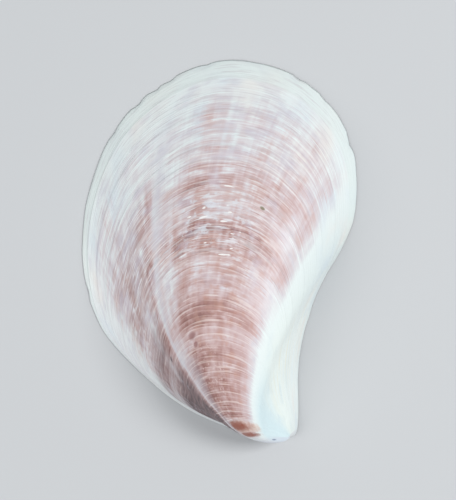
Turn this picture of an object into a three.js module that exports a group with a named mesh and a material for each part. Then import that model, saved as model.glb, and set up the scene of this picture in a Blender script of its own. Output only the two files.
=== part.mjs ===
import * as THREE from 'three';

// One valve of a twisted mussel, laid outside up: a hollow shell that rests on the flat rim of its mouth.
// Millimetres, +Z up. X runs across the shell, and Y from the beak to the broad far end.
// The origin is on the table, under the middle of the shell's box.

// The outline of the mouth, traced by hand anticlockwise from above, starting beside the beak.
const MARGIN = [
  [18.1, -41.5], [18.4, -34.5], [18.5, -26.5], [20.2, -17.4], [23.2, -8.9], [27.6, -1.0],
  [30.8, 5.6], [32.1, 14.2], [31.1, 23.8], [27.6, 31.6], [21.6, 38.2], [13.9, 42.5],
  [3.9, 44.5], [-4.8, 43.1], [-12.7, 39.3], [-20.6, 33.0], [-26.4, 24.7], [-30.2, 14.7],
  [-31.9, 3.7], [-31.1, -7.9], [-27.4, -18.0], [-21.0, -25.7], [-12.7, -33.2], [-4.5, -38.3],
  [2.0, -41.0], [5.4, -42.6], [9.5, -43.7], [14.1, -43.8], [16.7, -43.2],
];

// The beak, where the shell began, and how its first few millimetres bend away from the rest.
const BEAK = new THREE.Vector3(13.95, -42.3, 5.6);
const BEAK_BEND = new THREE.Vector3(3.8, -1.0, -0.6);
const BEND_POWER = 14;

// How the shell twists as it grows: the line that it turns about, and the radians for each e-fold of growth.
const GROWTH_AXIS = new THREE.Vector3(0.67, -0.4, 0.435).normalize();
const TURN_PER_EFOLD = 0.894;
const TURN_FLOOR = 0.01;

// Growth is 1 at the mouth's edge and falls to 0 at the beak. The shell paused at each rest and left a ledge.
const FIRST_GROWTH = 0.04;
const RESTS = [0.12, 0.2, 0.28, 0.35, 0.43, 0.54, 0.58, 0.67, 0.75, 0.87, 0.95, 1];
const BAND_GROWTH = 0.042;
const BEAK_ROWS = 7;

// Each band swells towards its outer edge, then steps down to the next one.
const REST_LEDGE = 0.42;
const BAND_LEDGE = 0.2;
const STEP_GROWTH = 0.004;
const OPEN_SPREAD = 45;

// The hollow side grows from a point inside the beak, and its mouth lies inside the rim.
const HOLLOW_END = new THREE.Vector3(13.45, -40.0, 4.6);
const HOLLOW_FIRST_GROWTH = 0.05;
const HOLLOW_ROWS = 20;
const HOLLOW_ROW_POWER = 1.4;
const RIM_WIDTH = 2.0;
const WALL_INSET = 3.0;
const WALL_INSET_AT_BEAK = 2.5;
const BEAK_REACH = 12;
const LIP_GROWTH = 0.14;
const CORNER_SPAN = 0.03;

const COLUMNS_PER_POINT = 1.8;
const COLUMNS = Math.round(MARGIN.length * COLUMNS_PER_POINT);

const { lerp, smoothstep } = THREE.MathUtils;

// A closed smooth curve through the margin's points, as a cubic B-spline.
// Its controls start on the points and are pushed out until the curve reaches them.
function splineControls(points) {
  const count = points.length;
  const controls = points.map(([x, y]) => new THREE.Vector2(x, y));
  for (let pass = 0; pass < 30; pass += 1) {
    for (let i = 0; i < count; i += 1) {
      const before = controls[(i + count - 1) % count];
      const after = controls[(i + 1) % count];
      const reachedX = (before.x + 4 * controls[i].x + after.x) / 6;
      const reachedY = (before.y + 4 * controls[i].y + after.y) / 6;
      controls[i].x += points[i][0] - reachedX;
      controls[i].y += points[i][1] - reachedY;
    }
  }
  return controls;
}

const CONTROLS = splineControls(MARGIN);

// The margin's point at a turn from 0 to 1 around it.
function marginAt(turn) {
  const count = CONTROLS.length;
  const place = THREE.MathUtils.euclideanModulo(turn, 1) * count;
  const knot = Math.floor(place);
  const t = place - knot;
  const weights = [(1 - t) ** 3, 3 * t ** 3 - 6 * t ** 2 + 4, -3 * t ** 3 + 3 * t ** 2 + 3 * t + 1, t ** 3];
  const point = new THREE.Vector3();
  for (let k = 0; k < 4; k += 1) {
    const control = CONTROLS[(knot + k - 1 + count) % count];
    point.x += control.x * weights[k] / 6;
    point.y += control.y * weights[k] / 6;
  }
  return point;
}

// One point of a surface that grows out of a centre: the mouth's point, shrunk and turned about that centre.
function grown(mouthPoint, centre, growth) {
  const angle = TURN_PER_EFOLD * Math.log((1 + TURN_FLOOR) / (growth + TURN_FLOOR));
  return mouthPoint.clone().sub(centre).applyAxisAngle(GROWTH_AXIS, angle).multiplyScalar(growth).add(centre);
}

function outsideAt(turn, growth) {
  const place = grown(marginAt(turn), BEAK, growth);
  return place.addScaledVector(BEAK_BEND, (1 - growth) ** BEND_POWER);
}

// The outside with a ledge raised along its normal. Where the growth lines crowd together the ledge fades.
function ledgeAt(turn, growth, height) {
  const place = outsideAt(turn, growth);
  if (height === 0) {
    return place;
  }
  const small = 1e-4;
  const around = outsideAt(turn + small, growth).sub(outsideAt(turn - small, growth)).normalize();
  const outward = outsideAt(turn, growth + small).sub(outsideAt(turn, growth - small)).divideScalar(2 * small);
  const normal = new THREE.Vector3().crossVectors(outward, around);
  const spread = normal.length();
  return place.addScaledVector(normal.normalize(), height * Math.min(1, spread / OPEN_SPREAD));
}

// How far inside the margin the hollow's mouth lies: a thick wall, thinned to the rim at the lip.
function insetAt(point, growth) {
  const fromBeak = Math.hypot(point.x - BEAK.x, point.y - BEAK.y) / BEAK_REACH;
  const wall = lerp(WALL_INSET, WALL_INSET_AT_BEAK, Math.exp(-fromBeak * fromBeak / 2));
  return lerp(RIM_WIDTH, wall, smoothstep(1 - growth, 0, LIP_GROWTH));
}

// A point of the hollow side. The inset runs square to a chord of the margin, so it can't fold at the beak's corner.
function hollowAt(turn, growth) {
  const point = marginAt(turn);
  const chord = marginAt(turn + CORNER_SPAN).sub(marginAt(turn - CORNER_SPAN)).normalize();
  const inward = new THREE.Vector3(-chord.y, chord.x, 0);
  point.addScaledVector(inward, insetAt(point, growth));
  return grown(point, HOLLOW_END, growth);
}

// The rows of the outside from the beak to the mouth: where each one lies in growth, and how high it stands.
function outsideRows() {
  const rows = [];
  for (let i = 0; i < BEAK_ROWS; i += 1) {
    rows.push({ growth: FIRST_GROWTH * (RESTS[0] / FIRST_GROWTH) ** (i / BEAK_ROWS), height: 0 });
  }
  rows.push({ growth: RESTS[0], height: BAND_LEDGE });
  for (let rest = 1; rest < RESTS.length; rest += 1) {
    const start = RESTS[rest - 1];
    const width = RESTS[rest] - start;
    const bands = Math.max(1, Math.round(width / BAND_GROWTH));
    for (let band = 0; band < bands; band += 1) {
      const from = start + width * band / bands;
      const to = start + width * (band + 1) / bands;
      const last = band === bands - 1;
      const ledge = to === 1 ? 0 : last ? REST_LEDGE : BAND_LEDGE;
      rows.push({ growth: from + STEP_GROWTH, height: 0 });
      rows.push({ growth: lerp(from, to, 0.6), height: 0.4 * ledge });
      rows.push({ growth: to, height: ledge });
    }
  }
  return rows;
}

// The whole closed skin: beak tip, outside, rim, hollow side, and the hollow's end inside the beak.
function shellGeometry() {
  const rings = [];
  for (const { growth, height } of outsideRows()) {
    rings.push(Array.from({ length: COLUMNS }, (_, i) => ledgeAt(i / COLUMNS, growth, height)));
  }
  for (let row = HOLLOW_ROWS - 1; row >= 0; row -= 1) {
    const share = row / (HOLLOW_ROWS - 1);
    const growth = lerp(HOLLOW_FIRST_GROWTH, 1, share ** HOLLOW_ROW_POWER);
    rings.push(Array.from({ length: COLUMNS }, (_, i) => hollowAt(i / COLUMNS, growth)));
  }
  const vertices = [BEAK.clone().add(BEAK_BEND), ...rings.flat(), HOLLOW_END];
  const lastRing = 1 + (rings.length - 1) * COLUMNS;
  const faces = [];
  for (let i = 0; i < COLUMNS; i += 1) {
    const next = (i + 1) % COLUMNS;
    faces.push(0, 1 + i, 1 + next);
    for (let ring = 0; ring < rings.length - 1; ring += 1) {
      const here = 1 + ring * COLUMNS;
      const beyond = here + COLUMNS;
      faces.push(here + i, beyond + i, beyond + next);
      faces.push(here + i, beyond + next, here + next);
    }
    faces.push(lastRing + i, vertices.length - 1, lastRing + next);
  }
  const geometry = new THREE.BufferGeometry();
  geometry.setAttribute('position', new THREE.Float32BufferAttribute(vertices.flatMap((v) => v.toArray()), 3));
  geometry.setIndex(faces);
  geometry.computeVertexNormals();
  return geometry;
}

const SHELL_FINISH = new THREE.MeshStandardMaterial({ color: 0xd9c6c4, roughness: 0.42, metalness: 0 });

const valve = new THREE.Mesh(shellGeometry(), SHELL_FINISH);
valve.name = 'valve';

const group = new THREE.Group();
group.add(valve);

export default group;
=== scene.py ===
import math
import bpy
import numpy as np
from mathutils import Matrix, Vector


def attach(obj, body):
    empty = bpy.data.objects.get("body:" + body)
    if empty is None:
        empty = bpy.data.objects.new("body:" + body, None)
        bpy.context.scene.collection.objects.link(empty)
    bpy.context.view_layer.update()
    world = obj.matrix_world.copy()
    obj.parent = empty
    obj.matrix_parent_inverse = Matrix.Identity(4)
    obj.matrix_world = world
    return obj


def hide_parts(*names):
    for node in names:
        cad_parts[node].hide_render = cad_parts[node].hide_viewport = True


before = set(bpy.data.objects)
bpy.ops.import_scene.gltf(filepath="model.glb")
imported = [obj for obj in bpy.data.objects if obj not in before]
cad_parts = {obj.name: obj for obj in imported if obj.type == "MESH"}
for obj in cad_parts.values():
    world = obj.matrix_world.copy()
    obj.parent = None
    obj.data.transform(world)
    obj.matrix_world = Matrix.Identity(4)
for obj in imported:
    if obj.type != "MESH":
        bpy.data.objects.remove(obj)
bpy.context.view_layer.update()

# One valve of a twisted mussel, outside up. The imported solid is hidden, and this script grows the
# fine skin. Sizes are metres. Drawn sizes are given in millimetres, times MM.
MM = 0.001

# The outline of the shell's mouth, traced anticlockwise from above, starting beside the beak.
MARGIN = [
    (18.1, -41.5), (18.4, -34.5), (18.5, -26.5), (20.2, -17.4), (23.2, -8.9), (27.6, -1.0),
    (30.8, 5.6), (32.1, 14.2), (31.1, 23.8), (27.6, 31.6), (21.6, 38.2), (13.9, 42.5),
    (3.9, 44.5), (-4.8, 43.1), (-12.7, 39.3), (-20.6, 33.0), (-26.4, 24.7), (-30.2, 14.7),
    (-31.9, 3.7), (-31.1, -7.9), (-27.4, -18.0), (-21.0, -25.7), (-12.7, -33.2), (-4.5, -38.3),
    (2.0, -41.0), (5.4, -42.6), (9.5, -43.7), (14.1, -43.8), (16.7, -43.2),
]
RAYS = len(MARGIN)
SPLINE_PASSES = 30

# The law of growth: each new growth line is the last one, larger about the beak and turned about one axis.
BEAK = Vector((13.95, -42.3, 5.6)) * MM
BEAK_BEND = Vector((2.9, -1.0, -0.6)) * MM
BEND_POWER = 14
GROWTH_AXIS = Vector((0.67, -0.4, 0.435)).normalized()
TURN_PER_EFOLD = 0.894
TURN_FLOOR = 0.01

# The growth lines' corner beside the beak climbs straight from the margin to the tip, and pulls its
# neighbours along.
CORNER_TURN = 28 / RAYS
CORNER_PULL = 0.12
CORNER_END = BEAK + BEAK_BEND * 0.84

# Rows of the skin: even steps of growth down to the young shell, then steps by a constant ratio to the tip.
COLUMNS = 116
GROWTH_STEP = 0.0066
YOUNG_GROWTH = 0.1
YOUNG_RATIO = 0.935
TIP_GROWTH = 0.018

# The growth lines of the young shell are rounder, the more so towards the tip.
ROUND_GROWTH = 0.2
YOUNG_ROUND_TURNS = 0.065

# The hollow side grows from a point inside the beak, and its mouth lies inside the flat rim.
HOLLOW_END = Vector((13.45, -40.0, 4.6)) * MM
LIP_GROWTH = 0.93
HOLLOW_STEP = 0.028
HOLLOW_RATIO = 0.8
HOLLOW_TIP_GROWTH = 0.012

# The flat rim, and how far inside the margin the hollow side's wall starts.
RIM_WIDTH = 2.0 * MM
WALL_INSET = 3.0 * MM
WALL_INSET_AT_BEAK = 2.5 * MM
BEAK_REACH = 12 * MM
CORNER_SPAN = 0.03
INSET_ROUND_TURNS = 0.02

# On the left flank the drawn growth lines climb away from the grown rings by this growth. The tilt starts
# and is full at the first two rays, and fades between the last two. It also fades at the tip and margin.
LINE_TILT = 0.11
TILT_RAYS = (16, 20.5, 22, 26)
TILT_TIP_FADE = 0.4
TILT_MARGIN_FADE = 0.3

# Relief. Growth paused at each rest, and between rests it laid down fine overlapping scales.
RESTS = [0.15, 0.26, 0.352, 0.434, 0.539, 0.584, 0.672, 0.75, 0.786, 0.867, 0.953]
REST_HEIGHT = 0.13 * MM
REST_FADE = 0.05
REST_WANDER = 0.0025
SCALES = 84
SCALES_PER_BLOCK = 5
SPARE_SCALES = 4
SCALE_HEIGHT = 0.07 * MM
SCALE_PROFILE = 1.6
WEAKEST_SCALE = 0.25
WAVE_HEIGHT = 0.12 * MM

# The cells of the relief's noises, round the shell and along its growth. The scales wander by two noises:
# share of a scale, cells, seed.
WANDERS = [(0.4, (9, 20), 7), (0.12, (28, 50), 8)]
PATCH_CELLS = (26, 30)
WAVE_CELLS = (10, 9)
REST_EDGE_CELLS = 14
REST_LIFT_CELLS = 9
EDGE_CELLS = 90

# The relief is full where growth lines are this far apart per unit of growth, and fades at margin and tip.
OPEN_SPREAD = 45 * MM
MARGIN_FADE = 0.01
SMOOTH_TIP = 0.05
TIP_FADE = 0.12

# Seeds of the relief. The two seeds for the rests go up by one with each rest.
SCALE_SEED = 7
PATCH_SEED = 9
WAVE_SEED = 10
REST_EDGE_SEED = 17
REST_LIFT_SEED = 37
EDGE_SEED = 57

# The worn edge: it wavers a little all round, and is chipped at a few turns: turn, half width, depth.
EDGE_WAVER = 0.2 * MM
EDGE_REACH = 0.02
CHIPS = [
    (0.955, 0.006, 0.35 * MM), (0.076, 0.005, 0.4 * MM), (0.088, 0.005, 0.45 * MM),
    (0.281, 0.006, 0.5 * MM), (0.289, 0.005, 0.35 * MM), (0.33, 0.005, 0.3 * MM),
    (0.36, 0.006, 0.3 * MM), (0.44, 0.005, 0.25 * MM), (0.478, 0.006, 0.4 * MM),
    (0.492, 0.005, 0.35 * MM), (0.51, 0.006, 0.4 * MM), (0.54, 0.005, 0.3 * MM),
    (0.66, 0.005, 0.3 * MM), (0.8, 0.005, 0.25 * MM),
]

# Small pits and stained spots: ray, growth, half widths in rays and growth, depth, colour.
SPOTS = [
    (12.64, 0.373, 0.3, 0.008, 0.12 * MM, "brown pit"),
    (12.4, 0.352, 0.17, 0.006, 0.1 * MM, "brown pit"),
    (15.68, 0.385, 0.13, 0.006, 0.1 * MM, "dark pit"),
    (9.84, 0.664, 0.09, 0.0035, 0.08 * MM, "olive stain"),
    (5.3, 0.067, 0.6, 0.006, 0.05 * MM, "tip pit"),
]

# Where the rose colour lies: its strength along the growth, and across the rays from the first margin point.
ROSE_BY_GROWTH = [
    (0.0, 0.0), (0.09, 0.1), (0.12, 0.3), (0.15, 0.4), (0.16, 0.4), (0.175, 0.85), (0.2, 0.7),
    (0.26, 0.8), (0.275, 0.64), (0.3, 0.8), (0.335, 0.68), (0.36, 0.52), (0.385, 0.54), (0.4, 0.84),
    (0.43, 0.72), (0.455, 0.56), (0.5, 0.42), (0.53, 0.4), (0.55, 0.66), (0.57, 0.72), (0.6, 0.68),
    (0.635, 0.4), (0.66, 0.42), (0.69, 0.5), (0.74, 0.47), (0.755, 0.28), (0.77, 0.38), (0.8, 0.26),
    (0.86, 0.28), (0.9, 0.15), (0.93, 0.06), (1.0, 0.02),
]
ROSE_BY_RAY = [
    (7.1, 0.0), (7.5, 0.32), (7.9, 0.58), (8.3, 0.54), (8.7, 0.62), (9.1, 0.82), (10.2, 0.88),
    (12.0, 0.95), (13.1, 1.02), (13.6, 0.85), (14.1, 0.55), (14.75, 0.5), (15.0, 0.25), (15.2, 0.8),
    (15.5, 1.1), (16.0, 0.8), (16.4, 0.45), (16.8, 0.5), (17.2, 0.85), (18.7, 0.65), (19.6, 0.3),
    (21.5, 0.3), (24.5, 0.0), (29.0, 0.0),
]
ROSE_COLOURS = [
    (0.0, "bare shell"), (0.18, "palest rose"), (0.38, "pale rose"),
    (0.58, "rose"), (0.78, "deep rose"), (1.0, "deepest rose"),
]

# The pale keel ray drifts with growth, and the rays beyond it drift along: not at all up to the first of
# the two drifting rays, and fully from the second. The flank there is dusky towards the beak, partly its own
# colour and partly painted shade of the steep flank, and white from the shore's ray on.
KEEL_RAY = 15
KEEL_BY_GROWTH = [
    (0.1, 11.0), (0.18, 12.2), (0.226, 13.3), (0.28, 13.8), (0.35, 14.5), (0.4, 14.8), (0.5, 14.73),
    (0.6, 14.5), (0.7, 14.3), (0.8, 14.05), (1.0, 13.9),
]
DRIFTING_RAYS = (10.8, 13)
SHORE_BY_GROWTH = [
    (0.0, 21.0), (0.37, 20.8), (0.43, 20.3), (0.47, 19.9), (0.52, 18.7), (0.57, 18.0), (0.7, 18.3),
    (1.0, 19.0),
]
# How strongly the dusky flank is laid along the growth: partly its own colour, partly painted shade.
DUSK_AND_SHADE_BY_GROWTH = [
    (0.0, 1.0), (0.28, 1.0), (0.33, 0.7), (0.36, 0.3), (0.4, 0.3), (0.43, 0.5), (0.47, 0.27),
    (0.5, 0.05), (0.56, 0.0),
]

# The sea white of the right flank fades out between its two rays, and the dome's markings fade in between
# theirs.
SEA_RAYS = (7.6, 5.5)
DOME_RAYS = (7.6, 9.2)

# The markings are bolder on the outer half of the growth, and change again on its last third.
OUTER_GROWTHS = (0.4, 0.55)
LATE_GROWTHS = (0.66, 0.78)

# Areas with markings of their own: ray and half width, growth and half width.
CROWN = (12.3, 3.7, 0.62, 0.11)
CROWN_TOP = (11.3, 2.2, 0.61, 0.14)
SCRATCHED_FLANK = (16.8, 2.4, 0.64, 0.2)
ROSY_FLANK = (16.9, 1.3, 0.645, 0.09)
PIMPLED_DOME = (12, 2.6, 0.26, 0.13)
RIGHT_MARGIN = (3.2, 2.4, 0.62, 0.42)
RIGHT_CREASE = (5.2, 1.6, 0.925, 0.005)
LEFT_CREASE = (16.5, 5, 0.953, 0.004)

# Round patches by the beak: ray and growth of the centre, half widths in rays and growth.
FIRST_BROWN_PATCH = (10.8, 0.144, 2.9, 0.02)
SECOND_BROWN_PATCH = (10.0, 0.112, 2.9, 0.012)
PEACH_PATCH = (9.8, 0.14, 3.4, 0.024)

# The colours of the finishes, as seen on a screen: red, green and blue, 0 to 255.
COLOURS = {
    "bare shell": (234, 242, 241),
    "palest rose": (221, 215, 218),
    "pale rose": (209, 187, 188),
    "rose": (193, 160, 157),
    "deep rose": (172, 130, 125),
    "deepest rose": (142, 98, 92),
    "warm rose": (204, 160, 146),
    "keel": (211, 207, 215),
    "greyish rose": (168, 154, 158),
    "keel shade": (158, 138, 144),
    # The dusky flank's colours: partly its own dusky colour, partly painted shade of the steep flank.
    "dusk_and_shade": (97, 79, 82),
    "dusk streak": (134, 109, 110),
    "shore": (226, 231, 232),
    "young sea white": (215, 236, 241),
    "sea white": (239, 248, 243),
    "green white": (228, 240, 234),
    "grey green": (208, 221, 221),
    "pool": (213, 231, 237),
    "bluish lilac": (206, 205, 215),
    "scale lip": (234, 217, 210),
    "lilac rose": (198, 192, 208),
    "peach rose": (206, 166, 154),
    "white line": (236, 232, 233),
    "worn crown": (224, 230, 237),
    "straw": (243, 236, 210),
    "blue grey": (196, 212, 212),
    # Painted shade: the darker grey green lines in the creases.
    "crease_dent_and_shade": (168, 180, 176),
    "lilac tip": (206, 209, 222),
    "peach": (214, 172, 152),
    "brown": (150, 84, 66),
    "warm white": (238, 226, 218),
    "cool white": (212, 226, 236),
    "green rim": (227, 238, 235),
    # Grey threads: partly grey colour, partly painted shade between the fine lines.
    "grey thread and shade": (204, 199, 203),
    "white thread": (234, 238, 239),
    "pimple": (222, 198, 194),
    "scratch": (232, 232, 236),
    # Painted highlight: the white of the glints on the crown's top.
    "painted glint": (247, 245, 243),
    "brown pit": (148, 100, 98),
    "dark pit": (92, 78, 84),
    "olive stain": (110, 104, 62),
    "tip pit": (120, 132, 156),
    "blue pearl": (214, 222, 230),
    "white pearl": (232, 233, 232),
    "rose light": (226, 206, 214),
    "green light": (206, 226, 220),
    "pearl border": (222, 216, 208),
    "pearl line": (196, 190, 192),
    "floor paper": (200, 202, 204),
}

# The view, straight down: the photograph is 456 by 500 pixels, and its shell 387 pixels or 90 mm long.
# The sensor's longer side is in millimetres.
MM_PER_PIXEL = 90 / 387
FRAME_HEIGHT_PX = 500
SENSOR_SIZE = 36
CAMERA_HEIGHT = 0.9
CAMERA_X = (228 - 219.5) * MM_PER_PIXEL * MM
CAMERA_Y = (251 - 250) * MM_PER_PIXEL * MM
VIEW_END = 10

# How strong and how deep the finishes' fine dents are.
OUTER_DENTS = (0.5, 0.06 * MM)
PEARL_DENTS = (0.25, 0.05 * MM)

# The studio. Each light has its place, its width and its power in watts.
FLOOR_SIZE = 3
FLOOR_GAP = 0.2 * MM
FLOOR_ROUGHNESS = 0.9
LIGHTS = {"key": ((0.6, 0.1, 0.65), 0.35, 4.8), "fill": ((-0.55, -0.3, 0.65), 0.6, 3.7)}
SKY = (0.86, 0.9, 0.93, 1)
SKY_STRENGTH = 0.42


def spline_controls(points):
    """Control points of the closed cubic B-spline that runs through the points."""
    points = np.array(points) * MM
    controls = points.copy()
    count = len(points)
    for _ in range(SPLINE_PASSES):
        for i in range(count):
            reached = (controls[i - 1] + 4 * controls[i] + controls[(i + 1) % count]) / 6
            controls[i] += points[i] - reached
    return controls


CONTROLS = spline_controls(MARGIN)


def margin_at(turn):
    """Points of the margin, for an array of turns from 0 to 1 around it."""
    count = len(CONTROLS)
    place = np.mod(turn, 1) * count
    knot = np.floor(place).astype(int) % count
    t = (place - np.floor(place))[:, None]
    weights = ((1 - t) ** 3, 3 * t**3 - 6 * t**2 + 4, -3 * t**3 + 3 * t**2 + 3 * t + 1, t**3)
    flat = sum(weight * CONTROLS[(knot + k - 1) % count] for k, weight in enumerate(weights)) / 6
    return np.column_stack([flat, np.zeros(len(flat))])


def inward_at(turn):
    """Level directions into the mouth, square to a chord so that the beak's corner can't fold."""
    chord = margin_at(turn + CORNER_SPAN) - margin_at(turn - CORNER_SPAN)
    chord /= np.linalg.norm(chord, axis=1, keepdims=True)
    return np.column_stack([-chord[:, 1], chord[:, 0], np.zeros(len(turn))])


def inset_margin(turn, inset, inset_at_beak):
    """The margin moved inwards, by another width near the beak."""
    point = margin_at(turn)
    from_beak = np.linalg.norm(point[:, :2] - np.array(BEAK.xy), axis=1) / BEAK_REACH
    width = inset + (inset_at_beak - inset) * np.exp(-from_beak**2 / 2)
    return rounded(point + inward_at(turn) * width[:, None], INSET_ROUND_TURNS)


def rounded(line, reach):
    """A closed line of points, or several, with corners eased over this share of a turn."""
    waves = np.arange(COLUMNS // 2 + 1)
    kept = np.exp(-(2 * math.pi * reach * waves) ** 2 / 2)[..., None]
    return np.fft.irfft(np.fft.rfft(line, axis=-2) * kept, COLUMNS, axis=-2)


def smooth_step(x):
    x = np.clip(x, 0, 1)
    return x * x * (3 - 2 * x)


def turned(growth):
    """How far the growth line has turned, in radians."""
    return TURN_PER_EFOLD * math.log((1 + TURN_FLOOR) / (growth + TURN_FLOOR))


def bend(growth):
    return BEAK_BEND * (1 - growth) ** BEND_POWER


def grow_step(centre, growth, new_growth, bent):
    """Extrudes the selected growth line one step to the beak: turned about the axis and made smaller."""
    here = centre + bend(growth) * bent
    bpy.ops.mesh.spin(steps=1, angle=turned(growth) - turned(new_growth), center=here, axis=GROWTH_AXIS)
    bpy.ops.transform.resize(value=(new_growth / growth,) * 3, center_override=here)
    bpy.ops.transform.translate(value=(bend(new_growth) - bend(growth)) * bent)


def outside_growths():
    growths = list(np.arange(1, YOUNG_GROWTH, -GROWTH_STEP))
    while growths[-1] > TIP_GROWTH:
        growths.append(growths[-1] * YOUNG_RATIO)
    return growths


def hollow_growths():
    growths = [1.0, LIP_GROWTH]
    while growths[-1] > HOLLOW_TIP_GROWTH:
        growths.append(max(growths[-1] - HOLLOW_STEP, growths[-1] * HOLLOW_RATIO))
    return growths


def edit_mode(valve):
    bpy.context.view_layer.objects.active = valve
    bpy.ops.object.mode_set(mode="EDIT")


def object_mode(valve):
    bpy.context.view_layer.objects.active = valve
    bpy.ops.object.mode_set(mode="OBJECT")


def vertex_places(mesh):
    """The places of all vertices, one row for each."""
    places = np.empty(len(mesh.vertices) * 3)
    mesh.vertices.foreach_get("co", places)
    return places.reshape(-1, 3)


def move_vertices(mesh, places):
    mesh.vertices.foreach_set("co", places.ravel())
    mesh.update()


def keep(mesh, name, values):
    """Stores one value or one vector for each vertex."""
    vector = values.ndim == 2
    layer = mesh.attributes.new(name, "FLOAT_VECTOR" if vector else "FLOAT", "POINT")
    layer.data.foreach_set("vector" if vector else "value", values.astype(np.float32).ravel())


def read(mesh, name):
    """The values or vectors that keep stored."""
    layer = mesh.attributes[name]
    vector = layer.data_type == "FLOAT_VECTOR"
    values = np.empty(len(mesh.vertices) * (3 if vector else 1), np.float32)
    layer.data.foreach_get("vector" if vector else "value", values)
    return values.reshape(-1, 3) if vector else values


def ring_numbers(mesh):
    """Each vertex's ring. Until the rings are noted, every ring has its vertices in order."""
    if "ring" in mesh.attributes:
        return np.round(read(mesh, "ring")).astype(int)
    return np.arange(len(mesh.vertices)) // COLUMNS


def pick_rings(valve, rings):
    """Selects the growth lines with these numbers, and goes to edit mode."""
    object_mode(valve)
    numbers = ring_numbers(valve.data)
    wanted = np.isin(numbers, rings)
    valve.data.vertices.foreach_set("select", wanted)
    for edge in valve.data.edges:
        start, end = edge.vertices
        edge.select = bool(wanted[start] and numbers[start] == numbers[end])
    edit_mode(valve)


def place_ring(valve, ring, points):
    """Moves one growth line's vertices to the given points."""
    object_mode(valve)
    for i, point in enumerate(points):
        valve.data.vertices[ring * COLUMNS + i].co = point
    edit_mode(valve)


def straighten_corner(valve, growths, turns):
    """Draws every growth line's corner onto one line from margin to tip, so that no pit is left there."""
    object_mode(valve)
    rings = vertex_places(valve.data).reshape(-1, COLUMNS, 3)
    share = np.array(growths)[:, None]
    corner_column = round(CORNER_TURN * COLUMNS) % COLUMNS
    corner = rings[:, corner_column].copy()
    wanted = corner[0] * share + np.array(CORNER_END) * (1 - share)
    away = np.mod(turns - CORNER_TURN + 0.5, 1) - 0.5
    weight = np.exp(-(away / CORNER_PULL) ** 2)
    rings += weight[None, :, None] * (wanted - corner)[:, None, :]
    rings = rounded(rings, YOUNG_ROUND_TURNS * smooth_step(1 - share / ROUND_GROWTH))
    move_vertices(valve.data, rings)


def grow_skin():
    """The closed skin, ring by ring: from the mouth to the beak outside, then again on the hollow side."""
    bpy.ops.object.select_all(action="DESELECT")
    bpy.ops.mesh.primitive_circle_add(vertices=COLUMNS)
    valve = bpy.context.object
    valve.name = "valve_skin"
    turns = np.arange(COLUMNS) / COLUMNS
    outside, hollow = outside_growths(), hollow_growths()
    rim_ring = len(outside)
    last_ring = rim_ring + len(hollow) - 1

    edit_mode(valve)
    bpy.ops.mesh.select_mode(type="EDGE")
    place_ring(valve, 0, margin_at(turns))
    bpy.ops.mesh.select_all(action="SELECT")
    for growth, new_growth in zip(outside, outside[1:]):
        grow_step(BEAK, growth, new_growth, 1)

    straighten_corner(valve, outside, turns)
    pick_rings(valve, [0])
    bpy.ops.mesh.extrude_region_move()
    place_ring(valve, rim_ring, inset_margin(turns, WALL_INSET, WALL_INSET_AT_BEAK))
    for growth, new_growth in zip(hollow, hollow[1:]):
        grow_step(HOLLOW_END, growth, new_growth, 0)
    place_ring(valve, rim_ring, inset_margin(turns, RIM_WIDTH, RIM_WIDTH))

    note_growth(valve, outside, hollow, turns)
    pick_rings(valve, [0, rim_ring])
    bpy.ops.transform.edge_crease(value=1)
    for ring in (rim_ring - 1, last_ring):
        pick_rings(valve, [ring])
        bpy.ops.mesh.merge(type="CENTER")
    bpy.ops.mesh.select_all(action="SELECT")
    bpy.ops.mesh.normals_make_consistent(inside=False)
    object_mode(valve)
    return valve


def tilted(ray, growth):
    """The growth as the lines are drawn."""
    start, full, still, end = TILT_RAYS
    amount = smooth_step((ray - start) / (full - start)) * smooth_step((end - ray) / (end - still))
    faded = smooth_step((1 - growth) / TILT_MARGIN_FADE) * smooth_step(growth / TILT_TIP_FADE)
    return growth - LINE_TILT * amount * faded


def note_growth(valve, outside, hollow, turns):
    """Keeps each vertex's place in the pattern, its side, its ring and the growth lines' spread there."""
    object_mode(valve)
    mesh = valve.data
    rings = vertex_places(mesh).reshape(-1, COLUMNS, 3)
    growths = np.array(outside + hollow)
    around = np.roll(rings, -1, axis=1) - np.roll(rings, 1, axis=1)
    around /= np.linalg.norm(around, axis=2, keepdims=True)
    along = np.gradient(rings, axis=0) / np.gradient(growths)[:, None, None]
    along -= around * np.sum(along * around, axis=2, keepdims=True)
    spread = np.linalg.norm(along, axis=2)
    spread[len(outside) - 1:len(outside) + 1] = spread[len(outside) - 2]
    angle = np.tile(2 * math.pi * turns, len(growths))
    drawn = tilted(np.tile(turns * RAYS, len(growths)), np.repeat(growths, COLUMNS))
    keep(mesh, "pattern", np.column_stack([np.cos(angle), np.sin(angle), drawn]))
    keep(mesh, "hollow", np.repeat([0.0] * len(outside) + [1.0] * len(hollow), COLUMNS))
    keep(mesh, "spread", spread.ravel())
    keep(mesh, "ring", np.repeat(np.arange(len(growths)), COLUMNS))


def refine():
    """One subdivision doubles the active piece's rows and columns. The rim keeps its two edges."""
    bpy.ops.object.modifier_add(type="SUBSURF")
    smoother = bpy.context.object.modifiers[-1]
    smoother.levels = 1
    smoother.render_levels = 1
    bpy.ops.object.modifier_apply(modifier=smoother.name)


def grain(turn, growth, cells, seed):
    """Smooth noise from -1 to 1 with so many cells round the shell and along its growth."""
    around, along = cells
    table = np.random.default_rng(seed).uniform(-1, 1, (around, along + 2))
    x, y = np.mod(turn, 1) * around, np.clip(growth, 0, 1) * along
    i, j = np.floor(x).astype(int) % around, np.floor(y).astype(int)
    u, v = smooth_step(x - np.floor(x)), smooth_step(y - j)
    near = table[i, j] * (1 - u) + table[(i + 1) % around, j] * u
    far = table[i, j + 1] * (1 - u) + table[(i + 1) % around, j + 1] * u
    return near * (1 - v) + far * v


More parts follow.
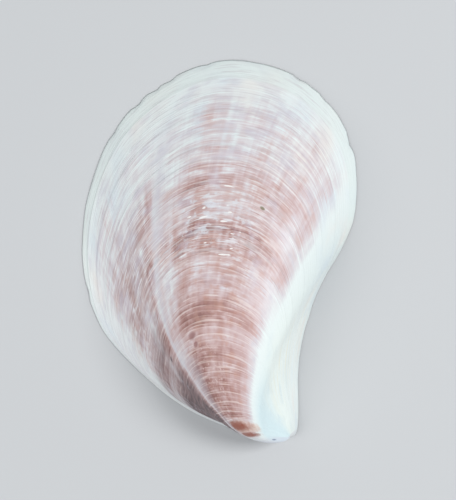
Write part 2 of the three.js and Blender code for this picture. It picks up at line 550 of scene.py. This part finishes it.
def grain_around(turn, around, seed):
    """Smooth noise from -1 to 1 that changes only round the shell."""
    return grain(turn, np.zeros(len(turn)), (around, 1), seed)


def turn_and_growth(mesh):
    """Each vertex's turn round the shell, from 0 to 1, and its growth."""
    cosine, sine, growth = read(mesh, "pattern").T
    return np.mod(np.arctan2(sine, cosine) / (2 * math.pi), 1), growth


def scale_heights(turn, growth, phase):
    """Fine scales, each rising slowly to its outer edge, of its own strength and patchy."""
    number = np.floor(phase).astype(int)
    share = phase - number
    strengths = np.random.default_rng(SCALE_SEED).uniform(WEAKEST_SCALE, 1, SCALES + SPARE_SCALES)
    strength = strengths[number + 1]
    patch = 0.6 + 0.4 * grain(turn, growth, PATCH_CELLS, PATCH_SEED)
    return SCALE_HEIGHT * share**SCALE_PROFILE * strength * patch


def rest_heights(turn, growth):
    """Ledges where growth paused, each wandering a little and lifted unevenly."""
    height = np.zeros(len(turn))
    for number, rest in enumerate(RESTS):
        edge = rest + REST_WANDER * grain_around(turn, REST_EDGE_CELLS, REST_EDGE_SEED + number)
        before = np.clip(1 - (edge - growth) / REST_FADE, 0, 1)
        lifted = 0.65 + 0.35 * grain_around(turn, REST_LIFT_CELLS, REST_LIFT_SEED + number)
        height += REST_HEIGHT * lifted * np.where(growth <= edge, before**2, 0)
    return height


def carve_relief(valve):
    """Raises the scales and rests along the skin's normals, less where growth lines crowd together."""
    mesh = valve.data
    turn, growth = turn_and_growth(mesh)
    wander = sum(share * grain(turn, growth, cells, seed) for share, cells, seed in WANDERS)
    phase = growth * SCALES + wander
    height = scale_heights(turn, growth, phase) + rest_heights(turn, growth)
    height += WAVE_HEIGHT * grain(turn, growth, WAVE_CELLS, WAVE_SEED)
    for ray, place, half_ray, half_growth, depth, _ in SPOTS:
        away = ((turn * RAYS - ray) / half_ray) ** 2 + ((growth - place) / half_growth) ** 2
        height -= depth * np.exp(-away)
    fade = np.clip(read(mesh, "spread") / OPEN_SPREAD, 0, 1) * (1 - read(mesh, "hollow"))
    fade *= smooth_step((1 - growth) / MARGIN_FADE) * smooth_step((growth - SMOOTH_TIP) / TIP_FADE)
    normals = np.empty(len(turn) * 3)
    mesh.vertices.foreach_get("normal", normals)
    move_vertices(mesh, vertex_places(mesh) + normals.reshape(-1, 3) * (height * fade)[:, None])
    keep(mesh, "scale", phase)


def chip_edge(valve):
    """Wears the rim's outer edge: it wavers, and small chips are gone."""
    mesh = valve.data
    turn, growth = turn_and_growth(mesh)
    depth = EDGE_WAVER * (0.5 + 0.5 * grain_around(turn, EDGE_CELLS, EDGE_SEED))
    for place, half_width, chip_depth in CHIPS:
        away = np.abs(np.mod(turn - place + 0.5, 1) - 0.5) / half_width
        depth += chip_depth * np.clip(1 - away**2, 0, 1)
    weight = smooth_step((growth - 1 + EDGE_REACH) / EDGE_REACH) * (1 - read(mesh, "hollow"))
    move_vertices(mesh, vertex_places(mesh) + inward_at(turn) * (depth * weight)[:, None])


class Wire:
    """A socket of one material. Sums and products of wires add the nodes that work them out."""

    def __init__(self, tree, socket=None):
        self.tree = tree
        self.socket = socket

    def node(self, kind, settings, sockets, output=0):
        """Adds a node: its settings first, then its sockets' values or links. Gives one of its outputs."""
        node = self.tree.nodes.new(kind)
        for name, value in settings.items():
            if name == "stops":
                set_stops(node.color_ramp, value)
            else:
                setattr(node, name, value)
        for name, value in sockets.items():
            self.feed(node.inputs[name], value)
        return Wire(self.tree, node.outputs[output])

    def feed(self, socket, value):
        if isinstance(value, Wire):
            self.tree.links.new(value.socket, socket)
        else:
            socket.default_value = value

    def math(self, operation, *values):
        return self.node("ShaderNodeMath", {"operation": operation}, dict(enumerate(values)))

    def __add__(self, other):
        return self.math("ADD", self, other)

    def __radd__(self, other):
        return self.math("ADD", other, self)

    def __sub__(self, other):
        return self.math("SUBTRACT", self, other)

    def __rsub__(self, other):
        return self.math("SUBTRACT", other, self)

    def __mul__(self, other):
        return self.math("MULTIPLY", self, other)

    def __rmul__(self, other):
        return self.math("MULTIPLY", other, self)

    def __pow__(self, other):
        return self.math("POWER", self, other)

    def rise(self, low, high):
        """Goes smoothly from 0 at the low value to 1 at the high one. With low above high it falls."""
        if low > high:
            return 1 - self.rise(high, low)
        settings = {"interpolation_type": "SMOOTHSTEP"}
        return self.node("ShaderNodeMapRange", settings, {"Value": self, "From Min": low, "From Max": high})

    def bump(self, centre, half_width):
        """1 at the centre, falling smoothly to 0 on either side."""
        return self.rise(centre - half_width, centre) * self.rise(centre + half_width, centre)

    def ramp(self, stops):
        """A value drawn through the stops, which are pairs of place and value, straight between them."""
        low, high = stops[0][0], stops[-1][0]
        top = max(value for _, value in stops)
        shades = [((place - low) / (high - low), (value / top,) * 3 + (1,)) for place, value in stops]
        share = (self - low) * (1 / (high - low))
        return self.node("ShaderNodeValToRGB", {"stops": shades}, {0: share}) * top

    def tint(self, low, high):
        """A colour between two, by this wire's value."""
        mix = {"data_type": "RGBA"}
        return self.node("ShaderNodeMix", mix, {0: self, 6: low, 7: high}, 2)

    def stretch(self, x, y, z):
        """The vector with each of its parts made longer."""
        return self.node("ShaderNodeVectorMath", {"operation": "MULTIPLY"}, {0: self, 1: (x, y, z)})

    def noise(self, rays, lines, detail=2.0, shift=0.0):
        """Soft noise over the shell, with about this many grains per radian round it and along its growth."""
        where = self.stretch(rays, rays, lines)
        sockets = {"Vector": where, "W": shift, "Scale": 1.0, "Detail": detail, "Roughness": 0.55}
        return self.node("ShaderNodeTexNoise", {"noise_dimensions": "4D"}, sockets)

    def attribute(self, name, output):
        return self.node("ShaderNodeAttribute", {"attribute_name": name}, {}, output)

    def parts(self):
        """The vector's three parts."""
        outputs = self.node("ShaderNodeSeparateXYZ", {}, {0: self}).socket.node.outputs
        return [Wire(self.tree, output) for output in outputs]


def set_stops(ramp, stops):
    while len(ramp.elements) < len(stops):
        ramp.elements.new(1)
    for element, (place, colour) in zip(ramp.elements, stops):
        element.position = place
        element.color = colour


def paint(name):
    """A named colour, turned into the linear colour that a material takes."""
    seen = [value / 255 for value in COLOURS[name]]
    return tuple(v / 12.92 if v < 0.04045 else ((v + 0.055) / 1.055) ** 2.4 for v in seen) + (1,)


def new_finish(name):
    material = bpy.data.materials.new(name)
    material.use_nodes = True
    wire = Wire(material.node_tree)
    return material, wire, material.node_tree.nodes["Principled BSDF"].inputs


def dented(wire, dents, height):
    """The normal of a surface with fine dents in it."""
    strength, depth = dents
    return wire.node("ShaderNodeBump", {}, {"Strength": strength, "Distance": depth, "Height": height})


class Shell:
    """The outer finish as it is built: places on the shell, shared noises, and the colour laid on so far.

    The keeled rays are the rays moved so that the keel, wherever it has drifted, is at its own ray.
    """

    def __init__(self, wire):
        self.wire = wire
        self.pattern = wire.attribute("pattern", "Vector")
        cosine, sine, self.growth = self.pattern.parts()
        turn = wire.math("ARCTAN2", sine, cosine) * (RAYS / (2 * math.pi))
        self.ray = wire.math("WRAP", turn, RAYS, 0)
        drift = KEEL_RAY - self.growth.ramp(KEEL_BY_GROWTH)
        self.keeled = self.ray + drift * self.ray.rise(*DRIFTING_RAYS)
        self.scale = wire.attribute("scale", "Fac")
        self.outer = self.growth.rise(*OUTER_GROWTHS)
        self.late = self.growth.rise(*LATE_GROWTHS)
        self.dome = self.ray.rise(*DOME_RAYS)
        self.broad = self.pattern.noise(5, 3.5, shift=1)
        self.streaks = self.pattern.noise(24, 4, shift=2)
        self.bands = self.pattern.noise(2.2, 55, shift=4)
        self.fine = self.pattern.noise(7, 210, shift=5)
        self.patches = self.pattern.noise(9, 48, shift=6)
        self.lines = self.pattern.noise(2.5, 115, detail=1, shift=18)
        self.colour = None

    def most(self, first, second):
        return self.wire.math("MAXIMUM", first, second)

    def cover(self, amount, name):
        """Lays a named colour over what is there, as strongly as the amount."""
        self.colour = amount.tint(self.colour, paint(name))

    def area(self, place, ray):
        """1 at an area's centre, falling to 0 at its sides. The rays are the real or the drifting ones."""
        centre_ray, half_rays, centre_growth, half_growth = place
        return ray.bump(centre_ray, half_rays) * self.growth.bump(centre_growth, half_growth)

    def blob(self, place, ray):
        """0 at the centre of a round patch of the pattern, 1 at its edge, and more outside."""
        centre_ray, centre_growth, half_rays, half_growth = place
        across = (ray - centre_ray) * (1 / half_rays)
        along = (self.growth - centre_growth) * (1 / half_growth)
        return across * across + along * along


def mark_scales(shell):
    """A pale worn lip at each scale's outer edge, of its own strength and broken, and the shadow behind."""
    share = shell.wire.math("FRACT", shell.scale)
    number = shell.scale - share
    own = shell.wire.node("ShaderNodeTexWhiteNoise", {"noise_dimensions": "1D"}, {"W": number})
    broken = shell.pattern.noise(5, 70, shift=3).rise(0.38, 0.62)
    whole = shell.growth.rise(0.48, 0.36) * 0.65
    lip = share.rise(0.66, 0.9) * share.rise(1.0, 0.94) * (0.2 + 0.9 * own**2)
    arcs = shell.pattern.noise(1.6, 170, detail=1, shift=11).rise(0.58, 0.68)
    lip = shell.most(lip * shell.most(broken, whole), 0.55 * arcs)
    return lip, share.rise(0.3, 0.0) * own * broken


def rose_place(shell):
    """Where the rose lies, by ray and by growth, before it is broken up."""
    ray, growth, keeled = shell.ray, shell.growth, shell.keeled
    across = keeled + 0.9 * (shell.broad - 0.5) + 0.3 * growth.rise(0.7, 0.5) * ray.rise(10, 9)
    rose = growth.ramp(ROSE_BY_GROWTH) * across.ramp(ROSE_BY_RAY)
    rose = rose * shell.most(ray.rise(6.9, 8.4), growth.rise(0.42, 0.6))
    rose = rose * (1 - 0.5 * growth.rise(0.72, 0.8) * keeled.bump(15.6, 1.1))
    return rose * (1 + shell.late * (0.6 * ray.rise(10, 8.8) - 0.2))


def rose_breaks(shell):
    """How the rose varies: rays, bands, lines, and blocks that start and end at growth lines."""
    outer, late = shell.outer, shell.late
    block = shell.wire.math("FLOOR", shell.scale * (1 / SCALES_PER_BLOCK) + 0.35 * (shell.broad - 0.5))
    blocks = shell.pattern.noise(8, 1, shift=block * 3.7)
    breaks = 0.6 * (shell.broad - 0.5) + (1.3 - 0.8 * late) * (shell.bands - 0.5)
    breaks = breaks + (1.2 + 0.5 * outer) * (shell.patches - 0.5)
    breaks = breaks + (0.15 + 0.75 * outer + 1.1 * late) * (shell.streaks - 0.5)
    breaks = breaks + (1.0 + 1.2 * outer) * (blocks - 0.5)
    return breaks + (0.5 + 1.1 * outer) * (shell.fine - 0.5) + 1.4 * outer * (shell.lines - 0.5)


def lay_rose(shell, lip, shadow):
    """The rose dome. Gives the strength of the rose."""
    calm = 1 - 0.5 * shell.ray.rise(10.2, 8.8)
    rose = rose_place(shell) * (1 + calm * rose_breaks(shell))
    rose = rose + 0.3 * shell.area(ROSY_FLANK, shell.keeled) * shell.patches.rise(0.3, 0.5)
    rose = shell.most(rose - 0.2 * lip + 0.26 * shadow * rose.rise(0.05, 0.3), 0.0)
    stops = [(strength, paint(name)) for strength, name in ROSE_COLOURS]
    shell.colour = shell.wire.node("ShaderNodeValToRGB", {"stops": stops}, {0: rose})
    warm = shell.patches.rise(0.5, 0.7) * rose.rise(0.2, 0.45) * shell.keeled.rise(14, 12)
    shell.cover(warm * shell.growth.rise(0.65, 0.5) * 0.4, "warm rose")
    return rose


def lay_keel(shell, rose):
    """The pale keel ray, broad near the beak and thin further out, with greyer rose and shade beside it."""
    growth, keeled = shell.growth, shell.keeled
    thin = keeled.bump(KEEL_RAY - 0.05, 0.3) * growth.rise(0.95, 0.8) * growth.rise(0.15, 0.42)
    broad = keeled.bump(KEEL_RAY - 0.2, 1.1) * growth.rise(0.42, 0.34)
    shell.cover(shell.most(thin, 0.55 * broad) * (0.05 + 0.9 * shell.patches), "keel")
    shell.cover(keeled.rise(15.1, 16) * rose.rise(0.1, 0.5) * 0.4, "greyish rose")
    shell.cover(keeled.bump(13.9, 1.3) * growth.rise(0.36, 0.28) * 0.65, "keel shade")


def lay_dusk_and_shade(shell):
    """The streaky dusky flank beyond the keel, partly painted shade, and the white shore below it. Gives how
    dark it is.
    """
    ray, growth = shell.ray, shell.growth
    grooves = shell.pattern.noise(16, 5, shift=14)
    lower = (growth + 0.1 * (grooves - 0.5) + 0.12 * (shell.bands - 0.5)).ramp(DUSK_AND_SHADE_BY_GROWTH)
    uneven = 0.45 + 0.9 * shell.bands + 0.5 * grooves + 0.5 * (shell.fine - 0.5)
    # Partly the flank's own dusky colour, partly painted shade on the steep flank beyond the keel.
    dusk_and_shade = shell.keeled.rise(14.8, 16.5) * lower * uneven
    streaked = shell.pattern.noise(1.4, 130, detail=1, shift=17).rise(0.42, 0.62)
    shell.colour = dusk_and_shade.tint(shell.colour, (streaked * 0.8).tint(paint("dusk_and_shade"), paint("dusk streak")))
    ragged = (0.3 + 1.7 * shell.outer) * (shell.patches - 0.5) + (grooves - 0.5)
    below = ray - growth.ramp(SHORE_BY_GROWTH) + ragged
    shore = below.rise(-0.5, 0.5) * shell.most(ray.rise(16.5, 21.0), shell.outer)
    shell.cover(shore * 0.85, "shore")
    return dusk_and_shade


def lay_sea_white(shell):
    """The smooth white right flank, bluer towards the beak. Gives how far it reaches."""
    ray, growth = shell.ray, shell.growth
    sea = ray.rise(*SEA_RAYS) * growth.rise(0.85, 0.4)
    white = growth.rise(0.2, 0.45).tint(paint("young sea white"), paint("sea white"))
    white = (growth.rise(0.5, 0.85) * ray.rise(3.5, 6)).tint(white, paint("green white"))
    pools = shell.pattern.noise(4, 9, shift=12).rise(0.5, 0.7)
    white = (pools * 0.5).tint(white, paint("pool"))
    shell.cover(ray.bump(6, 1.8) * growth.rise(0.5, 0.8) * 0.35, "grey green")
    shell.colour = (sea * 0.85).tint(shell.colour, white)
    return sea


def wear_dome(shell, rose, lip, dusk_and_shade, crown):
    """Pale scale lips and lines. The rose leans to lilac or peach, and on the crown it is worn through."""
    outer, dome = shell.outer, shell.dome
    faint = rose.rise(0.02, 0.2) * rose.rise(0.45, 0.25)
    shell.cover(faint * shell.patches.rise(0.45, 0.7) * 0.5, "bluish lilac")
    shell.cover(lip * rose.rise(0.02, 0.25) * dome * (0.8 - 0.6 * dusk_and_shade), "scale lip")
    hue = shell.pattern.noise(6, 26, shift=19)
    shell.cover(hue.rise(0.52, 0.68) * outer * dome * 0.35, "lilac rose")
    shell.cover(hue.rise(0.48, 0.34) * rose.rise(0.1, 0.3) * outer * 0.3, "peach rose")
    shell.cover(shell.lines.rise(0.54, 0.66) * outer * dome * (0.4 - 0.2 * shell.late), "white line")
    worn = shell.pattern.noise(12, 75, detail=4, shift=20).rise(0.51, 0.65)
    shell.cover(worn * crown.rise(0.1, 0.6) * 0.7, "worn crown")


def streak_margins(shell):
    """Straw and blue grey streaks by the right margin, and painted shade in the fine creases, one on each
    side. Gives the creases.
    """
    right = shell.area(RIGHT_MARGIN, shell.ray)
    shell.cover(shell.pattern.noise(1.2, 34, shift=9).rise(0.48, 0.64) * right * 0.5, "straw")
    shell.cover(shell.pattern.noise(1.5, 60, shift=15).rise(0.52, 0.68) * right * 0.35, "blue grey")
    # Painted shade: a darker line laid in the creases, which the relief also dents.
    crease_dent_and_shade = shell.area(RIGHT_CREASE, shell.ray) + shell.area(LEFT_CREASE, shell.ray)
    shell.cover(crease_dent_and_shade * 0.4, "crease_dent_and_shade")
    return crease_dent_and_shade


def colour_beak(shell):
    """Two brown patches by the beak, peach around them, and a lilac tip."""
    shell.cover(shell.growth.rise(0.105, 0.06) * 0.6, "lilac tip")
    young = shell.keeled + 3 * (shell.broad - 0.5) + 1.5 * (shell.patches - 0.5)
    ragged = shell.fine - 0.5
    first, second = shell.blob(FIRST_BROWN_PATCH, young), shell.blob(SECOND_BROWN_PATCH, young)
    brown = shell.wire.math("MINIMUM", first, second) + ragged
    peach = shell.blob(PEACH_PATCH, young) + ragged
    shell.cover(peach.rise(1.3, 0.3) * 0.6, "peach")
    shell.cover(brown.rise(1.3, 0.0) * 0.95, "brown")


def colour_last_growth(shell, rose):
    """White that is warmer or cooler in places, a greenish last band, and fine threads along the growth, the
    grey ones partly painted shade.
    """
    warmth = shell.pattern.noise(3.5, 7, shift=13)
    bare = shell.growth.rise(0.7, 0.85) * rose.rise(0.3, 0.08)
    shell.cover(warmth.rise(0.5, 0.7) * bare * 0.45, "warm white")
    shell.cover(warmth.rise(0.5, 0.3) * bare * 0.45, "cool white")
    shell.cover(shell.growth.rise(0.945, 0.957) * 0.6, "green rim")
    threaded = shell.growth.rise(0.4, 0.6) * shell.dome
    # Grey threads: partly grey colour, partly painted shade between the pale lines of the outer dome.
    shell.cover(shell.fine.rise(0.5, 0.68) * threaded * 0.45, "grey thread and shade")
    shell.cover(shell.fine.rise(0.46, 0.3) * threaded * 0.4, "white thread")


def mark_crown_and_paint_glints(shell, crown):
    """Pimples on the lower dome, scratches on crown and left flank, and glossy bumps with painted glints.
    Gives all three.
    """
    pimples = shell.pattern.noise(26, 170, detail=0, shift=21).rise(0.66, 0.74)
    pimples = pimples * shell.area(PIMPLED_DOME, shell.keeled).rise(0.05, 0.4)
    shell.cover(pimples * 0.6, "pimple")
    scratched = shell.most(crown, shell.area(SCRATCHED_FLANK, shell.keeled))
    scratches = shell.pattern.noise(5, 150, detail=1, shift=10).rise(0.6, 0.67) * scratched.rise(0.05, 0.4)
    shell.cover(scratches * 0.75, "scratch")
    # Painted highlights: small bright white glints on the crown's top, laid on small glossy bumps.
    top = shell.area(CROWN_TOP, shell.ray)
    glossy_bumps_and_painted_glints = shell.pattern.noise(11, 120, detail=0, shift=8) + 0.06 * top
    glossy_bumps_and_painted_glints = glossy_bumps_and_painted_glints.rise(0.76, 0.8) * top.rise(0.1, 0.4)
    shell.cover(glossy_bumps_and_painted_glints, "painted glint")
    return pimples, scratches, glossy_bumps_and_painted_glints


def stain_spots(shell):
    """Stains in the small pits and spots, ragged at their edges."""
    for ray, growth, half_rays, half_growth, _, name in SPOTS:
        spot = shell.blob((ray, growth, half_rays, half_growth), shell.ray) + 2 * (shell.fine - 0.5)
        shell.cover(spot.rise(2.0, 0.2) * 0.8, name)


def make_outer_shell():
    """White and sea green, with a rose dome broken by pale rays and by the pale edges of the scales."""
    material, wire, shader = new_finish("outer_shell")
    shell = Shell(wire)
    crown = shell.area(CROWN, shell.keeled)
    lip, shadow = mark_scales(shell)
    rose = lay_rose(shell, lip, shadow)
    lay_keel(shell, rose)
    dusk_and_shade = lay_dusk_and_shade(shell)
    sea = lay_sea_white(shell)
    wear_dome(shell, rose, lip, dusk_and_shade, crown)
    crease_dent_and_shade = streak_margins(shell)
    colour_beak(shell)
    colour_last_growth(shell, rose)
    pimples, scratches, glossy_bumps_and_painted_glints = mark_crown_and_paint_glints(shell, crown)
    stain_spots(shell)

    relief = lip + 0.5 * shell.fine + 0.15 * shell.streaks - 0.4 * shadow
    relief = relief + 0.6 * glossy_bumps_and_painted_glints + 0.4 * scratches + 0.8 * pimples - crease_dent_and_shade
    wire.feed(shader["Base Color"], shell.colour)
    wire.feed(shader["Roughness"], 0.42 - 0.1 * sea + 0.1 * rose - 0.15 * glossy_bumps_and_painted_glints)
    wire.feed(shader["Normal"], dented(wire, OUTER_DENTS, relief))
    return material


def make_pearl():
    """The hollow side: pearly blue white with soft rose and green lights, and a duller band at the rim."""
    material, wire, shader = new_finish("pearl")
    pattern = wire.attribute("pattern", "Vector")
    growth = pattern.parts()[2]
    place = wire.node("ShaderNodeTexCoord", {}, {}, "Object")
    clouds = wire.node("ShaderNodeTexNoise", {}, {"Vector": place, "Scale": 90.0, "Detail": 2.0})
    lights = wire.node("ShaderNodeTexNoise", {}, {"Vector": place, "Scale": 45.0, "Detail": 1.0})
    lines = pattern.noise(4, 90, shift=2)
    border = growth.rise(0.78, 0.86)
    colour = clouds.rise(0.3, 0.7).tint(paint("blue pearl"), paint("white pearl"))
    colour = (lights.rise(0.5, 0.7) * 0.45).tint(colour, paint("rose light"))
    colour = (lights.rise(0.5, 0.32) * 0.35).tint(colour, paint("green light"))
    colour = (border * 0.7).tint(colour, paint("pearl border"))
    colour = (lines.rise(0.5, 0.7) * 0.2).tint(colour, paint("pearl line"))
    wire.feed(shader["Base Color"], colour)
    wire.feed(shader["Roughness"], 0.2 + 0.2 * border + 0.08 * lines)
    wire.feed(shader["Normal"], dented(wire, PEARL_DENTS, lines))
    return material


def dress(valve):
    """The outside and the hollow side have a finish each."""
    valve.data.materials.append(make_outer_shell())
    valve.data.materials.append(make_pearl())
    hollow = read(valve.data, "hollow")
    for face in valve.data.polygons:
        face.material_index = int(sum(hollow[corner] for corner in face.vertices) > 0)


def make_camera():
    """Looks straight down on the shell, as the photograph does."""
    data = bpy.data.cameras.new("camera")
    camera = bpy.data.objects.new("camera", data)
    bpy.context.scene.collection.objects.link(camera)
    camera.location = (CAMERA_X, CAMERA_Y, CAMERA_HEIGHT)
    data.lens = SENSOR_SIZE * CAMERA_HEIGHT / (FRAME_HEIGHT_PX * MM_PER_PIXEL * MM)
    data.clip_end = VIEW_END
    bpy.context.scene.camera = camera


def make_floor():
    bpy.ops.mesh.primitive_plane_add(size=FLOOR_SIZE, location=(0, 0, -FLOOR_GAP))
    floor = bpy.context.object
    floor.name = "floor"
    material, wire, shader = new_finish("floor_paper")
    wire.feed(shader["Base Color"], paint("floor paper"))
    wire.feed(shader["Roughness"], FLOOR_ROUGHNESS)
    floor.data.materials.append(material)


def make_lights():
    """Soft square lights that face the shell."""
    for name, (location, width, power) in LIGHTS.items():
        data = bpy.data.lights.new(name, "AREA")
        data.size = width
        data.energy = power
        light = bpy.data.objects.new(name, data)
        bpy.context.scene.collection.objects.link(light)
        light.location = location
        light.rotation_euler = (-Vector(location)).to_track_quat("-Z", "Y").to_euler()


def make_sky():
    world = bpy.data.worlds.new("studio")
    world.use_nodes = True
    background = world.node_tree.nodes["Background"].inputs
    background["Color"].default_value = SKY
    background["Strength"].default_value = SKY_STRENGTH
    bpy.context.scene.world = world


make_camera()
make_floor()
make_lights()
make_sky()
bpy.context.scene.view_settings.view_transform = "Standard"

valve = grow_skin()
refine()
carve_relief(valve)
chip_edge(valve)
bpy.ops.object.shade_smooth()
dress(valve)
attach(valve, "root")
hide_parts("valve")
